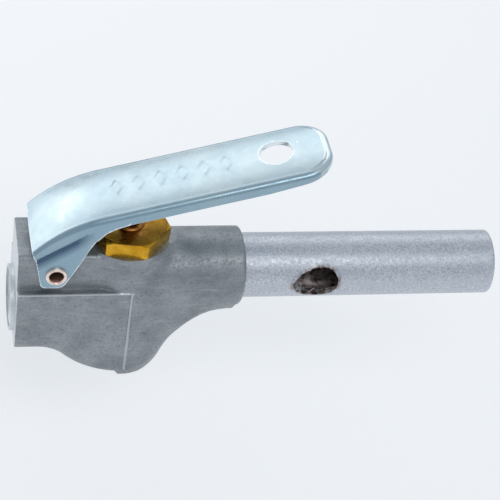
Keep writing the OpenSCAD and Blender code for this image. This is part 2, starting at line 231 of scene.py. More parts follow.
def skin(field, first, last, step):
    """Points and four-sided faces of the surface where the field is nothing."""
    axes = [np.arange(a, b + step, step) for a, b in zip(first, last)]
    shape = [len(a) for a in axes]
    value = np.empty(shape)
    for i, x in enumerate(axes[0]):
        gy, gz = np.meshgrid(axes[1], axes[2], indexing="ij")
        points = np.stack([np.full(gy.size, x), gy.ravel(), gz.ravel()], 1)
        value[i] = field(points).reshape(gy.shape)
    inside = value < 0
    n = [s - 1 for s in shape]
    corners = [(a, b, c) for a in (0, 1) for b in (0, 1) for c in (0, 1)]

    def shifted(grid, corner):
        return grid[tuple(slice(c, c + m) for c, m in zip(corner, n))]

    count = sum(shifted(inside, c).astype(int) for c in corners)
    cells = (count > 0) & (count < 8)
    index = np.full(n, -1)
    index[cells] = np.arange(cells.sum())
    base = np.argwhere(cells).astype(float)
    total = np.zeros((len(base), 3))
    hits = np.zeros(len(base))
    for a in corners:
        for axis in range(3):
            if a[axis]:
                continue
            b = tuple(1 if k == axis else a[k] for k in range(3))
            va = shifted(value, a)[cells]
            vb = shifted(value, b)[cells]
            cross = (va < 0) != (vb < 0)
            t = np.where(cross, va / np.where(cross, va - vb, 1), 0)
            point = base + a
            point[:, axis] += t
            total[cross] += point[cross]
            hits[cross] += 1
    points = np.array([a[0] for a in axes]) + step * total / hits[:, None]
    faces = []
    for axis in range(3):
        u, v = (axis + 1) % 3, (axis + 2) % 3
        span = [slice(1, m) for m in n]
        span[axis] = slice(0, n[axis])
        ahead_span = list(span)
        ahead_span[axis] = slice(1, n[axis] + 1)
        start = inside[tuple(span)]
        end = inside[tuple(ahead_span)]
        for wanted, order in ((start & ~end, 1), (~start & end, -1)):
            at = np.argwhere(wanted)
            at[:, u] += 1
            at[:, v] += 1
            loop = []
            for du, dv in ((1, 1), (0, 1), (0, 0), (1, 0))[::order]:
                cell = at.copy()
                cell[:, u] -= du
                cell[:, v] -= dv
                loop.append(index[tuple(cell.T)])
            faces.append(np.stack(loop, 1))
    return points, np.concatenate(faces)


def settle(points, field, rounds=4, reach=0.02):
    """Moves points straight onto the field's surface."""
    for _ in range(rounds):
        value = field(points)
        slope = np.stack([
            (field(points + step) - field(points - step)) / (2 * reach)
            for step in np.eye(3) * reach], 1)
        size = np.maximum((slope ** 2).sum(1), 0.2)
        points = points - slope * (value / size)[:, None] * 0.9
    return points


def make(name, points, faces, smooth=35):
    """A mesh object from points in millimetres, shaded smooth up to an angle in degrees."""
    mesh = bpy.data.meshes.new(name)
    mesh.from_pydata([tuple(v) for v in np.asarray(points) * MM], [], [tuple(f) for f in faces])
    mesh.validate()
    mesh.shade_smooth()
    mesh.set_sharp_from_angle(angle=math.radians(smooth))
    obj = bpy.data.objects.new(name, mesh)
    bpy.context.scene.collection.objects.link(obj)
    return obj


def apply_all(obj, smooth=35):
    """Makes every modifier on obj part of its mesh."""
    bpy.context.view_layer.update()
    done = bpy.data.meshes.new_from_object(obj.evaluated_get(bpy.context.evaluated_depsgraph_get()))
    obj.modifiers.clear()
    obj.data = done
    done.shade_smooth()
    done.set_sharp_from_angle(angle=math.radians(smooth))


def cut(obj, cutters):
    """Takes the cutters, which are then thrown away, out of obj."""
    for cutter in cutters:
        tool = obj.modifiers.new("cut", "BOOLEAN")
        tool.operation = "DIFFERENCE"
        tool.solver = "MANIFOLD"
        tool.object = cutter
    apply_all(obj)
    for cutter in cutters:
        bpy.data.objects.remove(cutter)


def lathe(name, profile, start, along, steps=96, closed=True):
    """A turned shape: profile is (radius, distance) pairs, about an axis from start."""
    along = Vector(along).normalized()
    across = along.orthogonal().normalized()
    other = along.cross(across)
    start = Vector(start)
    points = []
    for r, d in profile:
        for k in range(steps):
            a = 2 * math.pi * k / steps
            points.append(start + along * d + (across * math.cos(a) + other * math.sin(a)) * r)
    rows = len(profile)
    faces = []
    for i in range(rows if closed else rows - 1):
        for k in range(steps):
            a, b = i * steps + k, i * steps + (k + 1) % steps
            c, d = ((i + 1) % rows) * steps + (k + 1) % steps, ((i + 1) % rows) * steps + k
            faces.append((a, b, c, d))
    if not closed:
        faces.append(tuple(reversed(range(steps))))
        faces.append(tuple(range((rows - 1) * steps, rows * steps)))
    return make(name, points, faces)


def bar(name, start, along, r, length, steps=96):
    """A plain round bar, as a cutter."""
    return lathe(name, [(r, 0), (r, length)], start, along, steps, closed=False)


body_points, body_faces = skin(casting_field, (-2.1, -13.1, -23.6), (67.7, 13.1, 26.2), 0.4)
body_points = settle(body_points, casting_field)
for i, p in enumerate(body_points):
    wave = noise.noise(Vector(p) * 0.35) * 0.05 + noise.noise(Vector(p) * 1.3) * 0.02
    body_points[i][1] += wave * (1 if p[1] < 0 else -1) * 0.6 - 0.04 * np.sign(p[1])
casting = make("casting", body_points, body_faces, 50)
cutters = [
    bar("rim_face", (VALVE_X, 0, RIM_Z), (0, 0, 1), 30, 8),
    bar("inlet_face", (-8, 0, 0), (1, 0, 0), 20, 8),
    bar("inlet_socket", (-9, 0, 0), (1, 0, 0), 8.75, 9 + 13.2, 128),
    bar("inlet_throat", (8, 0, 0), (1, 0, 0), 7.2, 9),
    bar("lower_bore", (VALVE_X, 0, CUP_Z + 3.5), (0, 0, 1), 7.6, 27),
    bar("valve_bore", (VALVE_X, 0, 3), (0, 0, 1), 8.9, 27),
    bar("rim_step", (VALVE_X, 0, RIM_Z - 1.8), (0, 0, 1), 10.2, 6),
    bar("outlet_way", (VALVE_X, 0, SPOUT_Z), (1, 0, 0), 6.6, 40),
    bar("tube_socket", (BOSS_END - 14, 0, SPOUT_Z), (1, 0, 0), TUBE_R - 0.19, 20),
    bar("inlet_way", (14, 0, -2.6), (1, 0, 0), 4.4, VALVE_X - 14),
    bar("rivet_hole", (11.9, 20, 18), (0, -1, 0), 2.45, 40),
]
cut(casting, cutters)


def pipe_thread(name, first, last, mouth_r, pitch, depth, steps=96):
    """A thin ring with a tapered thread on its inside, closed all round."""
    rows = int((last - first) / pitch * 8)
    points = []
    for i in range(rows + 1):
        x = first + (last - first) * i / rows
        for k in range(steps):
            a = 2 * math.pi * k / steps
            turns = x / pitch - k / steps
            ridge = abs((turns % 1) * 2 - 1)
            fade = min(1, (x - first) / 1.0)
            crest = min(1, max(0, ridge * 1.25 - 0.12)) * depth * fade
            r = mouth_r - (x - first) / 32 - crest
            points.append((x, r * math.cos(a), r * math.sin(a)))
    for x in (last, first):
        for k in range(steps):
            a = 2 * math.pi * k / steps
            points.append((x, 8.8 * math.cos(a), 8.8 * math.sin(a)))
    total = rows + 3
    faces = []
    for i in range(total):
        for k in range(steps):
            j, m = (i + 1) % total, (k + 1) % steps
            faces.append((i * steps + k, i * steps + m, j * steps + m, j * steps + k))
    return make(name, points, faces, 40)


thread = pipe_thread("thread", 0.35, 13.1, 8.65, 1.411, 0.85)


def join(obj, others):
    """Joins other objects' meshes into obj."""
    work = bmesh.new()
    work.from_mesh(obj.data)
    for other in others:
        work.from_mesh(other.data)
    work.to_mesh(obj.data)
    work.free()
    for other in others:
        bpy.data.objects.remove(other)


join(casting, [thread])


def finish(name, colour, metallic, roughness):
    """A new material; returns it with its node tree and its shader."""
    material = bpy.data.materials.new(name)
    material.use_nodes = True
    tree = material.node_tree
    shader = tree.nodes["Principled BSDF"]
    shader.inputs["Base Color"].default_value = (*colour, 1)
    shader.inputs["Metallic"].default_value = metallic
    shader.inputs["Roughness"].default_value = roughness
    return material, tree, shader


def add(tree, kind, **values):
    """A node of that kind with its sockets or settings set by name."""
    made = tree.nodes.new(kind)
    for key, value in values.items():
        socket = made.inputs.get(key.replace("_", " "))
        if socket is not None:
            socket.default_value = value
        else:
            setattr(made, key, value)
    return made


def grain(tree, size, detail=3.0, stretch=(1, 1, 1)):
    """Noise whose lumps are about size millimetres; returns its value socket."""
    place = add(tree, "ShaderNodeTexCoord")
    fit = add(tree, "ShaderNodeMapping")
    fit.inputs["Scale"].default_value = [1 / (size * MM * s) for s in stretch]
    lumps = add(tree, "ShaderNodeTexNoise", Scale=1.0, Detail=detail)
    tree.links.new(place.outputs["Object"], fit.inputs["Vector"])
    tree.links.new(fit.outputs["Vector"], lumps.inputs["Vector"])
    return lumps.outputs["Fac"]


def ramp(tree, value, stops):
    """A colour ramp; stops are (place, colour) pairs."""
    made = add(tree, "ShaderNodeValToRGB")
    band = made.color_ramp
    while len(band.elements) < len(stops):
        band.elements.new(0.5)
    for element, (place, colour) in zip(band.elements, stops):
        element.position = place
        element.color = (*colour, 1)
    tree.links.new(value, made.inputs["Fac"])
    return made.outputs["Color"]


def spread(tree, value, lowest, highest, start=0.35, end=0.65):
    """A value between start and end moved to lie between two limits, and held there."""
    made = add(tree, "ShaderNodeMapRange")
    made.inputs["From Min"].default_value = start
    made.inputs["From Max"].default_value = end
    made.inputs["To Min"].default_value = lowest
    made.inputs["To Max"].default_value = highest
    tree.links.new(value, made.inputs["Value"])
    return made.outputs["Result"]


def bumps(tree, shader, layers):
    """Stacks bump from (value, depth in millimetres, strength) layers."""
    last = None
    for value, depth, strength in layers:
        made = add(tree, "ShaderNodeBump", Strength=strength, Distance=depth * MM)
        tree.links.new(value, made.inputs["Height"])
        if last is not None:
            tree.links.new(last, made.inputs["Normal"])
        last = made.outputs["Normal"]
    tree.links.new(last, shader.inputs["Normal"])


def mixed(tree, factor, first, second, kind="MIX"):
    """Two colours mixed; each is a socket or a plain colour."""
    made = add(tree, "ShaderNodeMix", data_type="RGBA", blend_type=kind)
    for name, value in (("A", first), ("B", second)):
        socket = [s for s in made.inputs if s.name == name and s.type == "RGBA"][0]
        if isinstance(value, tuple):
            socket.default_value = (*value, 1)
        else:
            tree.links.new(value, socket)
    tree.links.new(factor, made.inputs[0])
    return [s for s in made.outputs if s.type == "RGBA"][0]


cast_metal, tree, shader = finish("cast_aluminium", (0.25, 0.26, 0.27), 0.85, 0.5)
fine = grain(tree, 0.3, 4)
specks = grain(tree, 0.7, 2)
tone = ramp(tree, grain(tree, 7.0, 5), [(0.3, (0.235, 0.256, 0.275)), (0.7, (0.345, 0.368, 0.388))])
tone = mixed(tree, spread(tree, specks, 0.0, 0.35, 0.54, 0.72), tone, (0.13, 0.145, 0.16))
pale = spread(tree, grain(tree, 3.0, 4, (2.5, 1, 0.4)), 0.0, 0.45, 0.56, 0.7)
tone = mixed(tree, pale, tone, (0.42, 0.43, 0.43))


def along_axis(tree, axis):
    """One of the coordinates of the object's own space."""
    place = add(tree, "ShaderNodeTexCoord")
    split = add(tree, "ShaderNodeSeparateXYZ")
    tree.links.new(place.outputs["Object"], split.inputs["Vector"])
    return split.outputs[axis]


def two(tree, how, one, other=None):
    """Two values put together, or one value changed, by a maths node."""
    made = add(tree, "ShaderNodeMath", operation=how)
    tree.links.new(one, made.inputs[0])
    if other is not None:
        tree.links.new(other, made.inputs[1])
    return made.outputs["Value"]


def between(tree, value, first, last, soft=0.15):
    """1 where a coordinate is between two limits in millimetres, with soft sides."""
    up = spread(tree, value, 0.0, 1.0, (first - soft) * MM, first * MM)
    down = spread(tree, value, 1.0, 0.0, last * MM, (last + soft) * MM)
    return two(tree, "MULTIPLY", up, down)


# the ledge's edge and the rib where the slab ends are painted bright: a painted highlight along each edge
aside = two(tree, "ABSOLUTE", along_axis(tree, "Y"))
ledge = between(tree, along_axis(tree, "Z"), LEDGE_Z - 0.3, LEDGE_Z + 0.02)
ledge = two(tree, "MULTIPLY", ledge, spread(tree, aside, 0.0, 0.5, 11.1 * MM, 11.4 * MM))
slab_end = VALVE_X + 1.3
on_slab = spread(tree, along_axis(tree, "X"), 1.0, 0.0, slab_end * MM, (slab_end + 0.3) * MM)
ledge = two(tree, "MULTIPLY", ledge, on_slab)
rib = between(tree, along_axis(tree, "X"), VALVE_X + 0.6, VALVE_X + 1.2)
rib = two(tree, "MULTIPLY", rib, spread(tree, aside, 0.0, 0.32, SLAB_HALF * MM, 11.85 * MM))
tone = mixed(tree, two(tree, "MAXIMUM", ledge, rib), tone, (0.84, 0.86, 0.87))
# the end face and its ring are machined, the rest is as cast
machined = spread(tree, along_axis(tree, "X"), 1.0, 0.0, 1.36 * MM, 1.46 * MM)
tone = mixed(tree, machined, tone, (0.70, 0.73, 0.75))
tree.links.new(tone, shader.inputs["Base Color"])
tree.links.new(spread(tree, specks, 0.40, 0.56), shader.inputs["Roughness"])
bumps(tree, shader, [(fine, 0.08, 0.5), (grain(tree, 1.6, 3), 0.16, 0.5)])
casting.data.materials.clear()
casting.data.materials.append(cast_metal)
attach(casting, "body")
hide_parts("valve_body")

# ---------------------------------------------------------------------------------------------
# Valve cartridge. Turned and milled from hexagonal brass bar and screwed down on the rim; its
# corners are eased, and its top holds the pressed-in bush round the stem.


def eased_copy(name, node, width, smooth=32):
    """A copy of a CAD piece, its sharp edges rounded off by width millimetres unless that is 0."""
    work = bmesh.new()
    work.from_mesh(frame["nodes"][node].data)
    bmesh.ops.remove_doubles(work, verts=work.verts, dist=1e-6)
    bmesh.ops.dissolve_limit(
        work, angle_limit=math.radians(0.5), verts=work.verts, edges=work.edges)
    sharp = [e for e in work.edges if len(e.link_faces) == 2
             and e.calc_face_angle(0) > math.radians(25)]
    if width:
        bmesh.ops.bevel(work, geom=sharp, offset=width * MM, offset_type="OFFSET",
                        segments=2, profile=0.5, affect="EDGES", clamp_overlap=True)
    mesh = bpy.data.meshes.new(name)
    work.to_mesh(mesh)
    work.free()
    mesh.shade_smooth()
    mesh.set_sharp_from_angle(angle=math.radians(smooth))
    obj = bpy.data.objects.new(name, mesh)
    bpy.context.scene.collection.objects.link(obj)
    return obj


brass, tree, shader = finish("milled_brass", (0.72, 0.42, 0.08), 1.0, 0.28)
broad = grain(tree, 5.0, 4)
tone = ramp(tree, broad, [(0.35, (0.50, 0.24, 0.012)), (0.65, (0.80, 0.47, 0.045))])
# the top face is painted dark brown: painted shadow of the lever over it
shaded_top = spread(tree, along_axis(tree, "Z"), 0.0, 0.7, (bonnet_high.z - 0.3) * MM, (bonnet_high.z - 0.1) * MM)
tone = mixed(tree, shaded_top, tone, (0.17, 0.07, 0.015))
tree.links.new(tone, shader.inputs["Base Color"])
tree.links.new(spread(tree, grain(tree, 1.5, 3), 0.22, 0.40), shader.inputs["Roughness"])
bumps(tree, shader, [(grain(tree, 0.5, 3, (1, 1, 0.25)), 0.05, 0.4)])

cartridge = eased_copy("cartridge", "bonnet", 0.25)
cartridge.data.materials.append(brass)
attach(cartridge, "body")
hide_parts("bonnet")


def dress(node, material):
    """Gives a CAD piece that stays in view its finish."""
    for place in frame["nodes"][node].material_slots:
        place.material = material


rubber, tree, shader = finish("black_rubber", (0.03, 0.03, 0.032), 0.0, 0.55)
bumps(tree, shader, [(grain(tree, 0.4, 3), 0.03, 0.3)])
tree.links.new(spread(tree, grain(tree, 1.2), 0.45, 0.65), shader.inputs["Roughness"])
fibre, tree, shader = finish("pressed_fibre", (0.32, 0.08, 0.05), 0.0, 0.7)
bumps(tree, shader, [(grain(tree, 0.2, 4), 0.05, 0.5)])
nylon, tree, shader = finish("white_nylon", (0.78, 0.76, 0.70), 0.0, 0.4)
tree.links.new(spread(tree, grain(tree, 1.2), 0.35, 0.5), shader.inputs["Roughness"])
dress("bonnet_oring", rubber)
dress("packing_oring", rubber)
dress("seat_gasket", fibre)
dress("packing_spacer", nylon)

# ---------------------------------------------------------------------------------------------
# Bush and stem. The brass bush closes the packing round the stem; both get a darker, browner copy
# of the brass as painted shade, since they sit in the lever's shadow.
shaded_brass, tree, shader = finish("shaded_brass", (0.40, 0.17, 0.05), 1.0, 0.38)
tone = ramp(tree, grain(tree, 1.6, 4), [(0.3, (0.22, 0.08, 0.02)), (0.7, (0.60, 0.27, 0.07))])
tree.links.new(tone, shader.inputs["Base Color"])
bumps(tree, shader, [(grain(tree, 0.3, 2, (8, 8, 0.5)), 0.04, 0.5)])
dress("gland_bush", shaded_brass)
dress("valve_stem", shaded_brass)

# ---------------------------------------------------------------------------------------------
# Valve disc and its spring. A rubber disc held in a brass cup by a washer and nut on the stem's
# tail, pushed up to its seat by a steel spring that stands in a pressed seat in the lower cup.
plated, tree, shader = finish("plated_steel", (0.60, 0.62, 0.63), 1.0, 0.3)
tree.links.new(spread(tree, grain(tree, 0.8), 0.24, 0.42), shader.inputs["Roughness"])
bumps(tree, shader, [(grain(tree, 0.5, 3), 0.02, 0.3)])
dress("disc_washer", plated)
dress("disc_nut", plated)
dress("spring_cup", plated)
dress("seat_disc", rubber)
dress("disc_holder", brass)
spring = eased_copy("spring", "valve_spring", 0.0, smooth=80)
spring.data.materials.clear()
spring.data.materials.append(plated)
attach(spring, "body")
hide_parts("valve_spring")
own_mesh(spring)

# ---------------------------------------------------------------------------------------------
# Lever. Stamped from one steel strip and bright zinc plated: crowned across its width, with
# rolled side flanges that run round the tip, two ears set in over the casting, a raised grip
# pattern and a hole to hang it by.
lever_low, lever_high = (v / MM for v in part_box("lever"))
hinge = frame["record"]["behaviour"]["joints"][0]
PIVOT = Vector(hinge["pos_m"]) / MM
hang = [m for m in frame["record"]["mounts"] if m["name"] == "hang_hole"][0]
HANG = Vector(hang["pos_m"]) / MM
HANG_R = hang["dims"]["r_mm"]
SLOPE = math.radians(16)
SHEET = 1.5
HALF_W = 11.5
TIP = lever_high.x
TIP_R = 8.6
ROLL_R = 1.9
CROWN = 1.0
FLANGE = 3.8
HEEL = lever_low.x
HEEL_X = 24.0
HEEL_R = 39.6
EAR_LOW = 13.4
SET_IN = 0.5
SKIRT_END = 31.0
CREASE = ((5.2, 24.1), (19.8, 34.0), (22.6, 31.2))
GRIP_Z = HANG.z + SHEET / 2 / math.cos(SLOPE) - 0.15


def spine_z(x):
    """Height of the middle of the lever's outer face: a straight grip that curls at the heel."""
    straight = GRIP_Z + (x - HANG.x) * math.tan(SLOPE)
    cx = HEEL_X + HEEL_R * math.sin(SLOPE)
    cz = GRIP_Z + (HEEL_X - HANG.x) * math.tan(SLOPE) - HEEL_R * math.cos(SLOPE)
    curl = cz + np.sqrt(np.maximum(HEEL_R ** 2 - (x - cx) ** 2, 1))
    return np.where(x < HEEL_X, curl, straight)


def hem_z(x):
    """Height of the side's lower edge as folded, with a deep skirt that the ears are cut from."""
    edge = spine_z(x) - CROWN - FLANGE
    taper = np.clip((x - (TIP - 18)) / 18, 0, 1)
    edge = edge + taper * (FLANGE - 2.6)
    skirt = EAR_LOW - 1.0
    drop = np.clip((SKIRT_END - x) / 3.0, 0, 1)
    return edge + (skirt - edge) * drop


def lever_sheet():
    """Outer face of the pressing as a net of points from the hem up and over to the middle."""
    side_x = np.concatenate([
        np.linspace(HEEL - 1.6, SKIRT_END, 130), np.linspace(SKIRT_END + 0.4, TIP - TIP_R, 120)])
    arc = np.radians(np.linspace(0, 90, 22)[1:])
    near = [(x, -HALF_W, 0.0, -1.0) for x in side_x]
    near += [(TIP - TIP_R + TIP_R * math.sin(a), -HALF_W + TIP_R - TIP_R * math.cos(a),
              math.sin(a), -math.cos(a)) for a in arc]
    flat_y = np.linspace(-HALF_W + TIP_R, HALF_W - TIP_R, 9)[1:-1]
    end = [(TIP, y, 1.0, 0.0) for y in flat_y]
    far = [(x, -y, nx, -ny) for x, y, nx, ny in reversed(near)]
    x, y, nx, ny = np.array(near + end + far).T
    reach = TIP - HALF_W - 0.4
    corner = np.maximum(spine_z(x) - CROWN - ROLL_R, hem_z(x) + 0.05)
    rows = [np.stack([x, y, hem_z(x) + (corner - hem_z(x)) * g], 1) for g in np.linspace(0, 1, 50)]
    for a in np.radians(np.linspace(0, 90, 9)[1:]):
        inset = ROLL_R * (1 - math.cos(a))
        z = corner + ROLL_R * math.sin(a) + spine_z(x - nx * inset) - spine_z(x)
        rows.append(np.stack([x - nx * inset, y - ny * inset, z], 1))
    last = rows[-1]
    goal_x = np.minimum(x, reach)
    for f in np.linspace(0, 1, 31)[1:]:
        px = last[:, 0] + (goal_x - last[:, 0]) * f
        py = last[:, 1] * (1 - f)
        bow = CROWN * (1 - (py / (HALF_W - ROLL_R)) ** 2) * np.clip((TIP - px) / 6, 0, 1) ** 0.5
        start = last[:, 2] - spine_z(last[:, 0]) + CROWN
        rows.append(np.stack([px, py, spine_z(px) - CROWN + bow + start * (1 - f)], 1))
    return np.array(rows)


def step_between(value, width):
    """From 0 to 1 over a width, with soft ends."""
    t = np.clip(value / width + 0.5, 0, 1)
    return t * t * (3 - 2 * t)


def beyond(p, start, end):
    """How far the points of p lie to the right of the line from start to end, seen from the side."""
    ax, az = start
    bx, bz = end
    return ((p[..., 0] - ax) * (bz - az) - (p[..., 2] - az) * (bx - ax)) / math.hypot(bx - ax, bz - az)


def set_in_ears(p):
    """Steps the ears in towards the casting, under a slanting crease with a kink at its end."""
    below = np.minimum(beyond(p, CREASE[0], CREASE[1]), beyond(p, CREASE[1], CREASE[2]))
    inside = step_between(below - 0.4, 0.8)
    flat_side = np.abs(p[..., 1]) > HALF_W - 0.05
    p[..., 1] -= np.sign(p[..., 1]) * SET_IN * inside * flat_side
    return p


def raise_grip(p):
    """A row of low lozenges pressed up along the grip."""
    first_x = 28.0
    count = 6
    pitch = 6.2
    half_long = 1.9
    half_wide = 3.0
    height = 0.16
    away = (p[..., 0] - first_x) / math.cos(SLOPE)
    k = np.clip(np.round(away / pitch), 0, count - 1)
    du = np.abs(away - k * pitch) / half_long
    dv = np.abs(p[..., 1]) / half_wide
    face = p[..., 2] > spine_z(p[..., 0]) - CROWN - 0.6
    p[..., 2] += step_between(1 - (du + dv), 0.6) * height * face
    return p


def face_outwards(obj):
    """Turns every face of a closed mesh to look out."""
    work = bmesh.new()
    work.from_mesh(obj.data)
    bmesh.ops.recalc_face_normals(work, faces=work.faces)
    if work.calc_volume(signed=True) < 0:
        bmesh.ops.reverse_faces(work, faces=work.faces)
    work.to_mesh(obj.data)
    work.free()
    return obj


def side_cutter(name, outline):
    """A block with that outline seen from the side, wider than the lever."""
    n = len(outline)
    points = [(x, y, z) for y in (-20, 20) for x, z in outline]
    faces = [tuple(range(n)), tuple(reversed(range(n, 2 * n)))]
    faces += [(k, n + k, n + (k + 1) % n, (k + 1) % n) for k in range(n)]
    return face_outwards(make(name, points, faces))


def corner_arc(cx, cz, r, start, end, steps=8):
    """Points round a corner seen from the side, angles in degrees."""
    return [(cx + r * math.cos(a), cz + r * math.sin(a))
            for a in np.radians(np.linspace(start, end, steps))]


net = raise_grip(set_in_ears(lever_sheet()))
rows, columns = net.shape[:2]
lever_points = net.reshape(-1, 3)
lever_faces = [
    (i * columns + k, i * columns + k + 1, (i + 1) * columns + k + 1, (i + 1) * columns + k)
    for i in range(rows - 1) for k in range(columns - 1)]
pressing = make("lever_pressing", lever_points, lever_faces, 60)
work = bmesh.new()
work.from_mesh(pressing.data)
bmesh.ops.remove_doubles(work, verts=work.verts, dist=0.02 * MM)
bmesh.ops.recalc_face_normals(work, faces=work.faces)
upward = sum(f.normal.z * f.calc_area() for f in work.faces)
if upward < 0:
    bmesh.ops.reverse_faces(work, faces=work.faces)
work.to_mesh(pressing.data)
work.free()
thick = pressing.modifiers.new("thick", "SOLIDIFY")
thick.thickness = SHEET * MM
thick.offset = -1
thick.use_even_offset = False
thick.use_rim = True
apply_all(pressing, 50)
hang_axis = Vector(hang["axis"])
ear = [(-5, 45), (-3, 34), (4.5, 27.1), (6.0, 23.3), (7.5, 15.2)]
ear += corner_arc(9.2, EAR_LOW + 1.7, 1.7, 180, 270) + corner_arc(12.3, EAR_LOW + 2.6, 2.6, 270, 336)
ear += [(18.2, 22.0), (20.6, 27.6), (22.6, 31.2), (24.8, 33.8), (27.6, 35.5)]
ear += [(x, float(hem_z(np.array(x))) - 0.05) for x in (SKIRT_END, 35.0)] + [(35.0, 5), (-5, 5)]
cut(pressing, [
    side_cutter("ear_outline", ear),
    bar("hang_hole", HANG - hang_axis * 6, hang_axis, HANG_R, 12, 96),
    bar("ear_holes", (PIVOT.x, 20, PIVOT.z), (0, -1, 0), 2.4, 40),
])
edges = pressing.modifiers.new("edges", "BEVEL")
edges.width = 0.18 * MM
edges.segments = 2
edges.limit_method = "ANGLE"
edges.angle_limit = math.radians(50)
edges.use_clamp_overlap = True
apply_all(pressing, 40)

zinc, tree, shader = finish("bright_zinc", (0.52, 0.68, 0.74), 1.0, 0.3)
cloud = grain(tree, 14.0, 3)
tone = ramp(tree, cloud, [(0.3, (0.50, 0.64, 0.71)), (0.7, (0.61, 0.72, 0.75))])
# the sides are painted darker than the top face: painted shade, for the little light they catch
aside = two(tree, "ABSOLUTE", along_axis(tree, "Y"))
shaded_sides = spread(tree, aside, 0.0, 1.0, 10.0 * MM, 10.6 * MM)
tone = mixed(tree, shaded_sides, tone, (0.56, 0.64, 0.70), "MULTIPLY")


def crease_shade(tree):
    """Dark just under the crease above each ear, and fading out down the ear."""
    (ax, az), (bx, bz) = CREASE[:2]
    length = math.hypot(bx - ax, bz - az)
    place = add(tree, "ShaderNodeTexCoord")
    below = add(tree, "ShaderNodeVectorMath", operation="DOT_PRODUCT")
    tree.links.new(place.outputs["Object"], below.inputs[0])
    below.inputs[1].default_value = ((bz - az) / length, 0, (ax - bx) / length)
    line = (ax * (bz - az) - az * (bx - ax)) / length
    shade = shaded_sides
    for share in (
            spread(tree, below.outputs["Value"], 0.0, 1.0, (line + 0.3) * MM, (line + 0.8) * MM),
            spread(tree, below.outputs["Value"], 1.0, 0.0, (line + 1.8) * MM, (line + 4.6) * MM),
            spread(tree, along_axis(tree, "X"), 1.0, 0.0, 17.0 * MM, 22.0 * MM)):
        shade = two(tree, "MULTIPLY", shade, share)
    return shade


def lit_edges(tree, tone, bright, start, end):
    """Tone with its outer edges painted bright: a painted highlight along them."""
    shape = add(tree, "ShaderNodeNewGeometry")
    edge_highlight = spread(tree, shape.outputs["Pointiness"], 0.0, 0.85, start, end)
    return mixed(tree, edge_highlight, tone, bright)


tone = mixed(tree, crease_shade(tree), tone, (0.07, 0.12, 0.19))
# the crease lip and cut edges get a painted highlight
tone = lit_edges(tree, tone, (0.86, 0.92, 0.94), 0.55, 0.62)
tree.links.new(tone, shader.inputs["Base Color"])
drawn = grain(tree, 0.35, 3, (18, 1, 1))
tree.links.new(spread(tree, grain(tree, 3.0, 4), 0.24, 0.36), shader.inputs["Roughness"])
bumps(tree, shader, [(drawn, 0.02, 0.35), (grain(tree, 9.0, 2), 0.12, 0.25)])
pressing.data.materials.clear()
pressing.data.materials.append(zinc)
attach(pressing, "lever_arm")
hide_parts("lever")

# ---------------------------------------------------------------------------------------------
# Rivet. A tubular rivet through both ears and the casting, rolled over at each end into a small
# bright ring.
REACH = (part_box("pivot_rivet")[1] / MM).y


def rivet_profile():
    """Half outline of the rivet, from the bore's mouth round both rolled ends."""
    bore_r = 1.55
    shank_r = 2.4
    roll_r = 0.55
    roll_middle = 2.55

    def end(side):
        curl = []
        for t in np.linspace(0, 1, 9):
            a = math.pi * (0.98 - 0.98 * t)
            out = REACH - roll_r + roll_r * math.sin(a)
            curl.append((roll_middle + roll_r * math.cos(a), side * out))
        return curl

    one_end = [(bore_r, -8.0)] + end(-1) + [(3.1, -10.75), (shank_r, -10.7)]
    other_end = [(shank_r, 10.7), (3.1, 10.75)] + end(1)[::-1] + [(bore_r, 8.0)]
    return one_end + other_end


rivet = lathe("rivet", rivet_profile(), (PIVOT.x, 0, PIVOT.z), (0, 1, 0), 64)
copper, tree, shader = finish("copper_flash", (0.85, 0.68, 0.60), 1.0, 0.25)
tone = ramp(tree, grain(tree, 0.9, 4), [(0.3, (0.78, 0.58, 0.48)), (0.7, (0.97, 0.88, 0.84))])
tree.links.new(tone, shader.inputs["Base Color"])
bumps(tree, shader, [(grain(tree, 0.7, 3), 0.06, 0.5)])
rivet.data.materials.clear()
rivet.data.materials.append(copper)
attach(rivet, "lever_arm")
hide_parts("pivot_rivet")

# ---------------------------------------------------------------------------------------------
# Spout. Drawn aluminium tube pressed into the casting, cut off square, with a slanted port
# drilled in each side that has left a torn edge; dark browns are painted round each port as shade.
bore = [m for m in frame["record"]["mounts"] if m["name"] == "spout_bore"][0]
jet_low, jet_high = (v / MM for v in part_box("jet_insert"))
TUBE_BORE = bore["dims"]["r_mm"]
JET_SEAT_R = (jet_high.z - jet_low.z) / 2 + 0.01
JET_SEAT_X = jet_high.x + 0.7
SPIGOT_R = TUBE_R - 0.2
SHOULDER_X = BOSS_END + 0.2
PORT_R = 5.1
PORT_ANGLE = math.radians(50)
PORT_X = BOSS_END + 21.45
PORT_Z = SPOUT_Z + 0.5
lengths = np.arange(SHOULDER_X + 0.6, tube_high.x - 0.6, 0.6)
outside = [(SPIGOT_R - 0.4, tube_low.x), (SPIGOT_R, tube_low.x + 0.4), (SPIGOT_R, SHOULDER_X)]
outside += [(TUBE_R - 0.15, SHOULDER_X), (TUBE_R - 0.02, SHOULDER_X + 0.2)]
outside += [(TUBE_R - 0.02, x) for x in lengths]
outside += [(TUBE_R - 0.02, tube_high.x - 0.35), (TUBE_R - 0.12, tube_high.x - 0.1)]
outside += [(TUBE_R - 0.35, tube_high.x)]
inside = [(TUBE_BORE + 0.25, tube_high.x), (TUBE_BORE + 0.05, tube_high.x - 0.12)]
inside += [(TUBE_BORE, tube_high.x - 0.35)]
inside += [(TUBE_BORE, x) for x in lengths[::-1] if x > JET_SEAT_X + 0.2]
inside += [(TUBE_BORE, JET_SEAT_X), (JET_SEAT_R, JET_SEAT_X), (JET_SEAT_R, tube_low.x)]
spout = lathe("spout", outside + inside, (0, 0, SPOUT_Z), (1, 0, 0), 160)
ports = []
port_axes = []
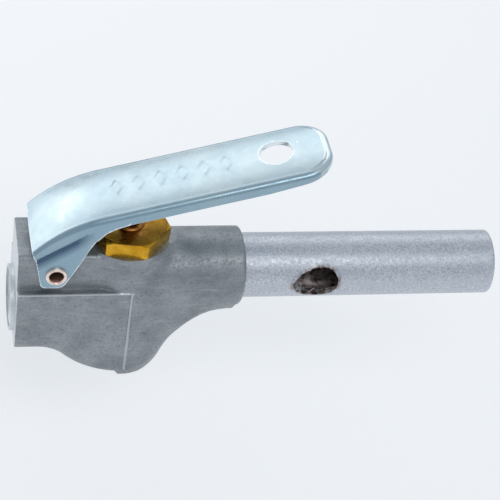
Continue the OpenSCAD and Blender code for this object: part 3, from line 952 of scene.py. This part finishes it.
for side in (-1, 1):
    into = Vector((math.cos(PORT_ANGLE), -side * math.sin(PORT_ANGLE), 0))
    mouth = Vector((PORT_X, side * TUBE_R, PORT_Z))
    port_axes.append((side, mouth, into))
    ports.append(bar(f"p{side}", mouth - into * 10, into, PORT_R, 10 + TUBE_R / math.sin(PORT_ANGLE), 96))
cut(spout, ports)


def tear_port_edges(mesh, band=0.9):
    """Lifts and drags the metal round each port's mouth, as a drill that broke through leaves it."""
    for vertex in mesh.vertices:
        p = vertex.co / MM
        for side, mouth, into in port_axes:
            away = p - mouth
            off_axis = (away - into * away.dot(into)).length - PORT_R
            radius = math.hypot(p.y, p.z - SPOUT_Z)
            if p.y * side < 0 or abs(off_axis) > band:
                continue
            rough = noise.noise(p * 1.1) + 0.5 * noise.noise(p * 2.7)
            near = 1 - abs(off_axis) / band
            lift = (0.10 + 0.34 * max(0, rough)) * near
            out = Vector((0, p.y, p.z - SPOUT_Z)).normalized()
            if radius > TUBE_R - 0.4:
                vertex.co += out * lift * MM
            inward = into * away.dot(into) - away
            vertex.co += inward.normalized() * max(0, rough) * 0.45 * near * MM


tear_port_edges(spout.data)


def burr(name, start, path, wide, thick):
    """A curled sliver of torn metal along a path, wide at the root and thin at the tip."""
    points = []
    n = len(path)
    for i, step in enumerate(path):
        taper = 1 - 0.85 * i / (n - 1)
        here = Vector(start) + Vector(step)
        for du, dv in ((-1, -1), (1, -1), (1, 1), (-1, 1)):
            points.append(here + Vector((du * wide * taper, 0, dv * thick * taper)))
    faces = [(0, 1, 2, 3), (4 * n - 1, 4 * n - 2, 4 * n - 3, 4 * n - 4)]
    for i in range(n - 1):
        for k in range(4):
            a, b = 4 * i + k, 4 * i + (k + 1) % 4
            faces.append((b, a, a + 4, b + 4))
    return face_outwards(make(name, points, faces, 60))


# each sliver's angle round its port, its length and its curl
TORN = ((198, 2.1, 0.9), (226, 1.5, -0.8), (252, 1.9, 0.7), (158, 1.2, 0.6))
ROOT_R = 8.9
slivers = []
for number, (angle, reach, curl) in enumerate(TORN):
    for side, mouth, into in port_axes:
        across = into.cross(Vector((0, 0, 1)))
        turn_by = math.radians(angle)
        edge_way = across * math.cos(turn_by) * -side + Vector((0, 0, 1)) * math.sin(turn_by)
        root = mouth + edge_way * (PORT_R + 0.1) + into * (0.6 if angle > 180 else 1.0)
        radius = math.hypot(root.y, root.z - SPOUT_Z)
        root += Vector((0, -root.y, SPOUT_Z - root.z)).normalized() * max(0, radius - ROOT_R)
        path = [edge_way * -reach * t + into * curl * t * t + Vector((0.5 * t * t, 0, 0))
                for t in np.linspace(0, 1, 9)]
        slivers.append(burr(f"burr_{number}_{side}", root, path, 0.42, 0.16))
join(spout, slivers)

tube_metal, tree, shader = finish("drawn_aluminium", (0.60, 0.63, 0.67), 0.9, 0.42)
dots = grain(tree, 0.5, 3)
tone = ramp(tree, dots, [(0.33, (0.40, 0.43, 0.48)), (0.62, (0.66, 0.69, 0.74))])
tone = mixed(tree, spread(tree, grain(tree, 5.0, 3, (2, 1, 1)), 0.0, 0.4), tone, (0.50, 0.52, 0.57))


def port_shade(tree, mouth, into):
    """How much painted shade lies round a port: most at its edge and in its wall, less away from it."""
    place = add(tree, "ShaderNodeTexCoord")
    shift = add(tree, "ShaderNodeVectorMath", operation="SUBTRACT")
    tree.links.new(place.outputs["Object"], shift.inputs[0])
    shift.inputs[1].default_value = mouth * MM
    turned = add(tree, "ShaderNodeVectorMath", operation="CROSS_PRODUCT")
    tree.links.new(shift.outputs["Vector"], turned.inputs[0])
    turned.inputs[1].default_value = into
    size = add(tree, "ShaderNodeVectorMath", operation="LENGTH")
    tree.links.new(turned.outputs["Vector"], size.inputs[0])
    near = spread(tree, size.outputs["Value"], 1.0, 0.0, (PORT_R + 0.05) * MM, (PORT_R + 1.1) * MM)
    depth = add(tree, "ShaderNodeVectorMath", operation="DOT_PRODUCT")
    tree.links.new(shift.outputs["Vector"], depth.inputs[0])
    depth.inputs[1].default_value = into
    this_side = spread(tree, depth.outputs["Value"], 1.0, 0.0, 7 * MM, 9 * MM)
    patchy = spread(tree, grain(tree, 1.5, 4), 0.15, 1.0, 0.4, 0.62)
    return two(tree, "MULTIPLY", near, two(tree, "MULTIPLY", this_side, patchy))


# dark browns painted round each port's mouth and wall: painted shade of the drilled hole
port_shade_tone = ramp(tree, grain(tree, 1.1, 3), [
    (0.35, (0.055, 0.030, 0.022)), (0.52, (0.20, 0.12, 0.08)), (0.68, (0.38, 0.33, 0.31))])
for _, mouth, into in port_axes:
    tone = mixed(tree, port_shade(tree, mouth, into), tone, port_shade_tone)
# the inside of the bore is painted dark: painted shade inside the tube
off_axis = add(tree, "ShaderNodeVectorMath", operation="MULTIPLY_ADD")
tree.links.new(add(tree, "ShaderNodeTexCoord").outputs["Object"], off_axis.inputs[0])
off_axis.inputs[1].default_value = (0, 1, 1)
off_axis.inputs[2].default_value = (0, 0, -SPOUT_Z * MM)
radius = add(tree, "ShaderNodeVectorMath", operation="LENGTH")
tree.links.new(off_axis.outputs["Vector"], radius.inputs[0])
in_bore = spread(tree, radius.outputs["Value"], 1.0, 0.0, (TUBE_BORE + 0.1) * MM, (TUBE_BORE + 0.3) * MM)
bore_shade = ramp(tree, grain(tree, 2.2, 4), [(0.38, (0.05, 0.035, 0.03)), (0.62, (0.36, 0.31, 0.30))])
tone = mixed(tree, in_bore, tone, bore_shade)
tree.links.new(tone, shader.inputs["Base Color"])
tree.links.new(spread(tree, grain(tree, 1.0, 3), 0.36, 0.54), shader.inputs["Roughness"])
bumps(tree, shader, [(grain(tree, 0.4, 3), 0.07, 0.55), (grain(tree, 2.5, 2, (3, 1, 1)), 0.06, 0.4)])
spout.data.materials.clear()
spout.data.materials.append(tube_metal)
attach(spout, "body")
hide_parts("spout_tube")

# ---------------------------------------------------------------------------------------------
# Jet. A turned aluminium nozzle pressed into the tube behind the side ports.
jet_metal, tree, shader = finish("turned_aluminium", (0.55, 0.56, 0.57), 1.0, 0.35)
bumps(tree, shader, [(grain(tree, 0.3, 2, (0.5, 8, 8)), 0.03, 0.5)])
tree.links.new(spread(tree, grain(tree, 1.0, 3), 0.3, 0.45), shader.inputs["Roughness"])
dress("jet_insert", jet_metal)
